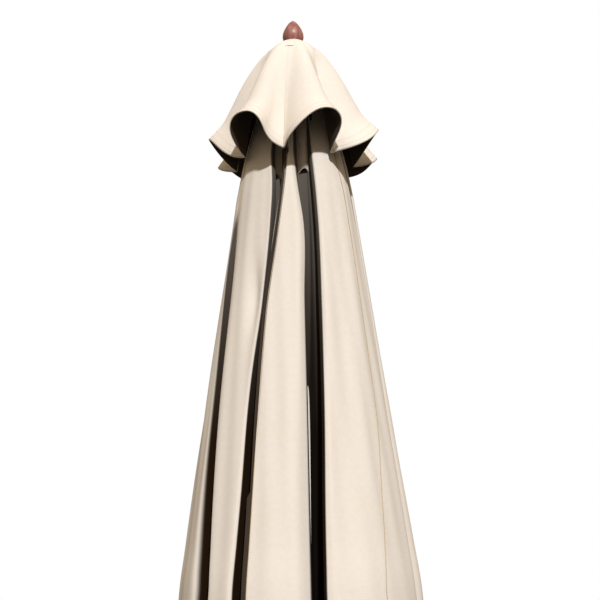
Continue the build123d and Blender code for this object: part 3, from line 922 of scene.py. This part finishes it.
    @staticmethod
    def _side(
        centre: np.ndarray,
        wall: np.ndarray,
        floor: np.ndarray,
        way: int,
        outer: np.ndarray,
        space: np.ndarray,
        shoulder: tuple[float, float],
        hidden: np.ndarray,
    ) -> tuple[list[np.ndarray], np.ndarray]:
        """Control points from a pleat's floor up its wall, through a hidden back fold, to the lobe's rim.

        Args:
            centre: Azimuth of the pleat's middle.
            wall: Half the pleat's mouth, in degrees.
            floor: Radius of the pleat's floor.
            way: 1 when the lobe lies counter-clockwise of the pleat, -1 otherwise.
            outer: Radius of the lobe.
            space: Degrees from the pleat's wall to the seam.
            shoulder: How far the rim lies behind the lobe's face, and over what width, at the widest.
            hidden: How far the hidden fold reaches behind the lobe, in degrees.

        Returns:
            Points as (rows, 3), from the floor to the rim, and the space left beside the shoulder.
        """
        per_metre = np.degrees(1 / outer)
        room = np.clip(outer - CORE_RADIUS, 0.0, None)
        first, second = (0.14, 0.34) if way == 1 else (0.48, 0.70)
        under = np.maximum(outer - 0.020 - first * room, floor + 0.012)
        lower = np.maximum(outer - 0.026 - second * room, floor + 0.008)
        size = np.clip(outer / 0.262, 0, 1) ** 1.5
        back = shoulder[0] * size
        slope = np.minimum(shoulder[1] * size * per_metre, 0.8 * space)
        # The third value of each step is painted shade: full down the pleat and its hidden fold, fading out at the
        # lobe's rim.
        steps = (
            (0.0 * wall, floor, 1.0),
            (0.45 * wall, floor + 0.0005, 1.0),
            (0.80 * wall + 0.2, floor + 0.002, 1.0),
            (0.86 * wall + 0.3, np.maximum(floor + 0.4 * (lower - floor), floor + 0.004), 1.0),
            (0.90 * wall + 0.4, np.maximum(lower - 0.005, floor + 0.006), 1.0),
            (0.95 * wall + 0.6 * hidden, lower, 1.0),
            (1.00 * wall + 1.1 * hidden, (lower + under) / 2, 1.0),
            (0.95 * wall + 0.6 * hidden, under, 1.0),
            (0.92 * wall + 0.2, np.minimum(under + 0.004, outer - back - 0.012), 1.0),
            (0.95 * wall, outer - back - 0.010, 1.0),
            (1.00 * wall + 0.001 * per_metre, outer - back - 0.002, 0.8),
            (1.00 * wall + 0.12 * slope + 0.003 * per_metre, outer - 0.86 * back, 0.1),
            (1.00 * wall + 0.55 * slope, outer - 0.42 * back, 0.0),
            (1.00 * wall + 0.95 * slope, outer - 0.05 * back, 0.0),
        )
        points = [
            np.stack([centre + way * away, radius, depth + 0 * radius], axis=-1)
            for away, radius, depth in steps
        ]
        return points, space - slope

    def cloth_of(self, lobe: int) -> tuple[Cloth, int]:
        """Lay out one lobe's cloth.

        Args:
            lobe: Number of the rib under the lobe, from 0.

        Returns:
            The cloth, and the column of its grid that the seam follows.
        """
        level = np.linspace(0, 1, self.rows + 1)
        nominal = self.top_drop + level * (self.hem_drop - self.top_drop)
        control, seam_at = self.outline(lobe, nominal)
        outer = self.radius(nominal)[:, None]
        flat = polar(control[..., 0], control[..., 1], 0.0)
        line = soft_line(flat, self.per_span)
        radius = np.linalg.norm(line[..., :2], axis=-1)
        sunk = np.clip((outer - radius - self.sunk_from) / self.sunk_over, 0, 1)
        # Painted shade deep in the pleats: the outline's marks, softened, and a little weaker towards the top.
        gloom = eased(nominal, (0.30, 0.45, 0.65, 0.90), (0.86, 0.90, 0.96, 1.0))[:, None]
        mark = np.clip((soft_line(control[..., 2:], self.per_span)[..., 0] - 0.25) / 0.40, 0, 1)
        depth = mark * mark * (3 - 2 * mark) * gloom
        hem_lift = (self.hem_drop - self.pleat_hem_drop) * sunk * level[:, None] ** 6
        line[..., 2] = HUB_Z - nominal[:, None] + hem_lift
        line = self._ruffle(lobe, line, nominal, sunk)
        edge = np.clip((nominal[:, None] - self.hem_drop + self.hem_width) / 0.004, 0, 1)
        thickness = self.cloth + 0.0008 * edge + 0 * sunk
        return Cloth(line, depth, thickness), seam_at * self.per_span

    def stitch(self, lobe: int, cloth: Cloth, seam_at: int) -> list[bpy.types.Object]:
        """Sew one lobe: a row beside each edge of its seam and two rows along its hem.

        Args:
            lobe: Number of the rib under the lobe, from 0.
            cloth: The lobe's cloth.
            seam_at: Column of the grid that the seam follows.

        Returns:
            The two threads, of the seam and of the hem.
        """
        face = cloth.points + THREAD_LIFT * cloth.normals()
        last = len(face) - 1
        drop = HUB_Z - face[:, seam_at, 2]
        up = [int(np.searchsorted(drop, self.hem_drop - rise)) for rise in (0.004, self.hem_width - 0.003)]
        beside = [face[6 : last - 2, seam_at + side * self.stitch_columns] for side in (-1, 1)]
        level = [face[min(row, last - 1)] for row in up]
        seam = STITCHER.sew(f"main_seam_thread_{lobe + 1}", beside, seed=lobe)
        hem = STITCHER.sew(f"main_hem_thread_{lobe + 1}", level, seed=RIB_COUNT + lobe)
        return [seam, hem]

    def _ruffle(self, lobe: int, line: np.ndarray, drop: np.ndarray, sunk: np.ndarray) -> np.ndarray:
        """Give the faces long soft undulations, strongest half-way down."""
        angle = np.arctan2(line[..., 1], line[..., 0])
        s = drop[:, None]
        wave = (
            np.sin(13 * angle + 5.1 * s + 1.7 * lobe)
            + 0.6 * np.sin(29 * angle - 7.3 * s + 2.3 * lobe)
            + 0.35 * np.sin(9.0 * s + 17 * angle + 0.9 * lobe)
        )
        size = 0.0016 * np.sin(np.pi * np.clip((s - 0.2) / 1.3, 0, 1)) * (1 - sunk)
        out = line[..., :2] / np.linalg.norm(line[..., :2], axis=-1, keepdims=True)
        away = (np.degrees(angle) - self.dent_at[0] + 180) % 360 - 180
        aside, along = away / self.dent_size[0], (s - self.dent_at[1]) / self.dent_size[1]
        dent = self.dent_depth * np.exp(-(aside**2) - along**2) * (1 - sunk)
        moved = line.copy()
        moved[..., :2] += out * (size * wave - dent)[..., None]
        return moved

    def build(self) -> list[bpy.types.Object]:
        """Make the eight lobes, their seams and stitches."""
        pieces = []
        for lobe in range(RIB_COUNT):
            cloth, seam_at = self.cloth_of(lobe)
            piece = cloth.mesh(f"main_fold_{lobe + 1}")
            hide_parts(f"main_gore_{lobe + 1}")
            axis, anchor = squash_frame(lobe, self.plane_offset, 0.0)
            body = f"gore_{lobe + 1}"
            cord = seam_cord(f"main_seam_{lobe + 1}", cloth.points[4:, seam_at])
            threads = self.stitch(lobe, cloth, seam_at)
            for each in (piece, cord, *threads):
                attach(each, body)
                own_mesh(each)
            # Its flat cut is not worked out here: the open gore measures 0.6375 m2, 1.004 m along its hem.
            # The fan, a gore of its own, is named under with_pieces, so its area is never measured.
            pieces.append(piece)
        return pieces


def seam_cord(name: str, line: np.ndarray, thickness: float = 0.0017) -> bpy.types.Object:
    """A thin piping along a seam, toned darker than the cloth as painted shade.

    Args:
        name: The new object's name.
        line: Points along the seam as (rows, 3).
        thickness: Diameter of the piping.

    Returns:
        A mesh tube.
    """
    curve = bpy.data.curves.new(name, "CURVE")
    curve.dimensions = "3D"
    curve.bevel_depth = thickness / 2
    curve.bevel_resolution = 1
    curve.use_fill_caps = True
    spline = curve.splines.new("POLY")
    spline.points.add(len(line) - 1)
    spline.points.foreach_set("co", np.concatenate([line, np.ones((len(line), 1))], axis=1).ravel())
    carrier = bpy.data.objects.new(name + "_path", curve)
    made = bpy.data.meshes.new_from_object(carrier)
    made.name = name
    bpy.data.objects.remove(carrier)
    bpy.data.curves.remove(curve)
    made.polygons.foreach_set("use_smooth", np.ones(len(made.polygons), bool))
    made.materials.append(SEAM_CORD.material())
    piece = bpy.data.objects.new(name, made)
    bpy.context.scene.collection.objects.link(piece)
    return piece


@dataclass(frozen=True)
class Flare:
    """How one vent gore's hem swings out between its two pinches.

    `across` runs from 0 at one rib to 1 at the next, `bulge` from 0 at the pinch's radius to 1
    at the arch's, and `lift` from 0 at the corner of the hem to 1 at the top of an open arch.
    """

    across: tuple[float, ...]
    bulge: tuple[float, ...]
    lift: tuple[float, ...]

    def mirrored(self) -> "Flare":
        """The same flare, turned round for the other side."""
        return Flare(tuple(1 - x for x in self.across[::-1]), self.bulge[::-1], self.lift[::-1])


OPEN_ARCH = Flare(
    (0, 0.04, 0.08, 0.20, 0.36, 0.51, 0.66, 0.81, 0.915, 0.94, 0.925, 0.97, 1),
    (0, 0.20, 0.55, 0.95, 1.02, 1.05, 1.02, 0.97, 0.90, 0.70, 0.43, 0.14, 0),
    (0, 0.02, 0.08, 0.34, 0.68, 0.92, 1.01, 1.00, 0.80, 0.52, 0.27, 0.09, 0),
)
LEANING_ARCH = Flare(
    (0, 0.05, 0.09, 0.12, 0.19, 0.33, 0.48, 0.60, 0.70, 0.755, 0.765, 0.85, 1),
    (0, 0.25, 0.60, 0.85, 0.96, 1.00, 1.02, 1.03, 0.98, 0.84, 0.62, 0.33, 0),
    (0, 0.10, 0.34, 0.62, 0.88, 1.00, 1.01, 0.95, 0.78, 0.52, 0.27, 0.09, 0),
)
SWEPT_SKIRT = Flare(
    (0, 0.06, 0.14, 0.23, 0.33, 0.42, 0.54, 0.65, 0.75, 0.84, 0.90, 0.95, 1),
    (0, 0.28, 0.68, 0.90, 1.00, 1.05, 1.07, 1.05, 0.98, 0.80, 0.50, 0.20, 0),
    (0, 0.02, 0.07, 0.18, 0.32, 0.47, 0.68, 0.86, 0.95, 0.85, 0.55, 0.20, 0),
)
SLACK_SKIRT = Flare(
    (0, 0.08, 0.17, 0.30, 0.45, 0.57, 0.67, 0.76, 0.85, 0.91, 0.95, 0.98, 1),
    (0, 0.06, 0.18, 0.30, 0.46, 0.66, 0.86, 1.00, 0.95, 0.70, 0.40, 0.15, 0),
    (0, 0.02, 0.04, 0.14, 0.31, 0.55, 0.80, 0.95, 0.90, 0.60, 0.30, 0.10, 0),
)
LOW_ARCH = Flare(
    (0, 0.05, 0.11, 0.19, 0.30, 0.40, 0.50, 0.60, 0.70, 0.81, 0.89, 0.95, 1),
    (0, 0.25, 0.60, 0.85, 0.98, 1.03, 1.03, 1.00, 0.95, 0.82, 0.55, 0.22, 0),
    (0, 0.03, 0.12, 0.25, 0.40, 0.50, 0.53, 0.50, 0.40, 0.25, 0.12, 0.03, 0),
)


@dataclass
class ClosedVent:
    """The vent tier gathered closed: a small bell, pinched over the ribs and flared between them."""

    top_drop: float = -0.0505
    rib_hem: float = 0.261
    plane_offset: float = 0.0585
    plane_lean: float = 0.057
    arch_hem: float = 0.183
    rows: int = 64
    per_span: int = 8
    cloth: float = 0.0012
    flares: tuple[Flare, ...] = (
        LOW_ARCH.mirrored(),
        OPEN_ARCH.mirrored(),
        LOW_ARCH,
        LOW_ARCH.mirrored(),
        SLACK_SKIRT.mirrored(),
        LEANING_ARCH,
        OPEN_ARCH,
        SWEPT_SKIRT,
    )
    pinch_drift: tuple[float, ...] = (8, 2.5, 0, -1, 0, 0, 0, 2)
    pinch_slack: tuple[float, ...] = (0.4, 0.3, 0.4, 0.5, 0.4, 0.45, 0.85, 0.15)

    @staticmethod
    def arch_radius(drop: np.ndarray) -> np.ndarray:
        """Radius of the flared middle of a gore."""
        stations = (-0.0505, -0.044, -0.036, -0.016, 0.022, 0.067, 0.113, 0.150, 0.183)
        return eased(drop, stations, (0.0258, 0.0382, 0.0490, 0.0708, 0.100, 0.127, 0.150, 0.171, 0.203))

    @staticmethod
    def pinch_radius(drop: np.ndarray) -> np.ndarray:
        """Radius of the pinch over a rib."""
        stations = (-0.0505, -0.044, -0.036, -0.016, 0.03, 0.10, 0.18, 0.261)
        return eased(drop, stations, (0.0258, 0.0380, 0.0485, 0.0690, 0.083, 0.097, 0.114, 0.132))

    def pinch(self, rib: int, level: np.ndarray) -> np.ndarray:
        """Radius over a rib, from the crown (level 0) to the hem (level 1)."""
        drop = self.top_drop + level * (self.rib_hem - self.top_drop)
        taut = self.pinch_radius(drop)
        arch = self.arch_radius(self.top_drop + level * (self.arch_hem - self.top_drop))
        return taut + (arch - taut) * self.pinch_slack[rib] * np.clip(1.15 - level, 0, 1) ** 0.8

    def cloth_of(self, gore: int) -> Cloth:
        """Lay out one gore's cloth, from pinch to pinch."""
        level = np.linspace(0, 1, self.rows + 1)[:, None]
        flare, after = self.flares[gore], (gore + 1) % RIB_COUNT
        even = np.linspace(0, 1, len(flare.across))[None, :]
        open_out = level**1.4
        across = even + (np.array(flare.across)[None, :] - even) * open_out
        soft = np.sin(np.pi * even) ** 1.3
        bulge = soft + (np.array(flare.bulge)[None, :] - soft) * open_out
        lift = np.array(flare.lift)[None, :]
        hem = self.rib_hem - (self.rib_hem - self.arch_hem) * lift
        drop = self.top_drop + level * (hem - self.top_drop)
        arch = self.arch_radius(self.top_drop + level * (self.arch_hem - self.top_drop))
        first, second = self.pinch(gore, level), self.pinch(after, level)
        pinch = first + (second - first) * even
        radius = pinch + (arch - pinch) * bulge
        start = gore * RIB_STEP + self.pinch_drift[gore]
        width = RIB_STEP + self.pinch_drift[after] - self.pinch_drift[gore]
        line = soft_line(polar(start + across * width, radius, HUB_Z - drop), self.per_span)
        flat = 0 * line[..., 0]
        edge = np.clip((level - 0.94) / 0.02, 0, 1)
        return Cloth(line, flat, self.cloth + 0.0010 * edge + flat)

    def build(self) -> list[bpy.types.Object]:
        """Make the eight gores of the vent."""
        pieces = []
        for gore in range(RIB_COUNT):
            cloth = self.cloth_of(gore)
            piece = cloth.mesh(f"vent_fold_{gore + 1}")
            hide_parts(f"vent_gore_{gore + 1}")
            axis, anchor = squash_frame(gore, self.plane_offset, self.plane_lean)
            face = cloth.points + THREAD_LIFT * cloth.normals()
            rows = [face[-3], face[-6]]
            thread = STITCHER.sew(f"vent_hem_thread_{gore + 1}", rows, seed=2 * RIB_COUNT + gore)
            for each in (piece, thread):
                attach(each, f"gore_{gore + 1}")
                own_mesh(each)
            # Not worked out, and too small: the open gore measures 0.0472 m2, 0.278 m along its hem.
            pieces.append(piece)
        return pieces


# --- frame and stage --------------------------------------------------------------------


@dataclass
class Hardware:
    """The pole, ribs, crank and base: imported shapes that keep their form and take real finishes."""

    record: dict = field(default_factory=lambda: frame["record"])

    def dress(self) -> int:
        """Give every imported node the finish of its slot.

        Returns:
            How many nodes were dressed.
        """
        for part in self.record["subparts"]:
            finish = SLOT_FINISHES[part["material_slot"]]
            if part["node"] == "finial":
                finish = FINIAL_WOOD
            node = frame["nodes"][part["node"]]
            node.data.materials.clear()
            node.data.materials.append(finish.material())
        return len(self.record["subparts"])


@dataclass
class Studio:
    """Pale floor, white surround, a high key light and the camera at waist height looking up."""

    distance: float = 2.68
    height: float = 1.25
    azimuth: float = 9.5
    pitch: float = 11.9
    roll: float = -0.74
    pan: float = -0.18
    lens_mm: float = 72.0
    key_side: float = 10.0
    key_height: float = 41.0
    key_strength: float = 3.1
    sky: tuple[float, float, float] = (0.05, 0.40, 0.50)

    def camera(self) -> None:
        """Place the camera."""
        made = bpy.data.cameras.new("camera")
        made.lens = self.lens_mm
        made.sensor_width = 36.0
        eye = bpy.data.objects.new("camera", made)
        a = math.radians(self.azimuth)
        eye.matrix_world = (
            Matrix.Translation((self.distance * math.sin(a), -self.distance * math.cos(a), self.height))
            @ Matrix.Rotation(a + math.radians(self.pan), 4, "Z")
            @ Matrix.Rotation(math.radians(90 + self.pitch), 4, "X")
            @ Matrix.Rotation(math.radians(self.roll), 4, "Z")
        )
        bpy.context.scene.collection.objects.link(eye)
        bpy.context.scene.camera = eye

    def light(self) -> None:
        """Add the key light and the white surround."""
        lamp = bpy.data.lights.new("key", "SUN")
        lamp.energy = self.key_strength
        lamp.angle = math.radians(2.5)
        lamp.color = linear("FFFFFF")[:3]
        key = bpy.data.objects.new("key", lamp)
        key.rotation_euler = (
            math.radians(90 - self.key_height),
            0,
            math.radians(self.azimuth + self.key_side),
        )
        bpy.context.scene.collection.objects.link(key)
        world = bpy.data.worlds.new("surround")
        world.use_nodes = True
        tree = world.node_tree
        tree.nodes.clear()
        seen = add_node(tree, "ShaderNodeBackground", {"Color": (1, 1, 1, 1), "Strength": 1.0})
        way = add_node(tree, "ShaderNodeTexCoord").outputs["Generated"]
        height = add_node(tree, "ShaderNodeSeparateXYZ", {0: way}).outputs["Z"]
        below, level, above = self.sky
        lower = add_node(
            tree,
            "ShaderNodeMapRange",
            {"Value": height, "From Min": -0.15, "From Max": 0.1, "To Min": below, "To Max": level},
        )
        upper = add_node(
            tree,
            "ShaderNodeMapRange",
            {"Value": height, "From Min": 0.1, "From Max": 0.8, "To Max": above - level},
        )
        strength = add_node(tree, "ShaderNodeMath", {0: lower.outputs["Result"], 1: upper.outputs["Result"]})
        warm = {"Color": linear("FFE6C4"), "Strength": strength.outputs[0]}
        fill = add_node(tree, "ShaderNodeBackground", warm)
        path = add_node(tree, "ShaderNodeLightPath")
        both = add_node(
            tree,
            "ShaderNodeMixShader",
            {0: path.outputs["Is Camera Ray"], 1: fill.outputs[0], 2: seen.outputs[0]},
        )
        add_node(tree, "ShaderNodeOutputWorld", {"Surface": both.outputs[0]})
        bpy.context.scene.world = world
        bpy.context.scene.view_settings.view_transform = "Standard"

    def floor(self) -> None:
        """Lay the pale floor."""
        made = bpy.data.meshes.new("floor")
        size = 12.0
        corners = [(-size, -size, 0), (size, -size, 0), (size, size, 0), (-size, size, 0)]
        made.from_pydata(corners, [], [(0, 1, 2, 3)])
        plain = Speckled("pale_studio_floor", "DAD8D4", 0.8, fleck="D2D0CC", grain_mm=6.0)
        made.materials.append(plain.material())
        ground = bpy.data.objects.new("floor", made)
        bpy.context.scene.collection.objects.link(ground)
        ground.visible_diffuse = False


def main() -> None:
    """Build the umbrella's visible pieces and the studio round it."""
    logging.basicConfig(level=logging.INFO, format="%(message)s")
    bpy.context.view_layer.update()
    studio = Studio()
    studio.camera()
    studio.light()
    studio.floor()
    log.info("dressed %d packed nodes", Hardware().dress())
    for tier in OPEN_TIERS:
        log.info("%s: %d gores", tier.name, len(tier.build()))
    log.info("closed main canopy: %d lobes", len(ClosedMain().build()))
    log.info("closed vent: %d gores", len(ClosedVent().build()))


if __name__ == "__main__":
    main()
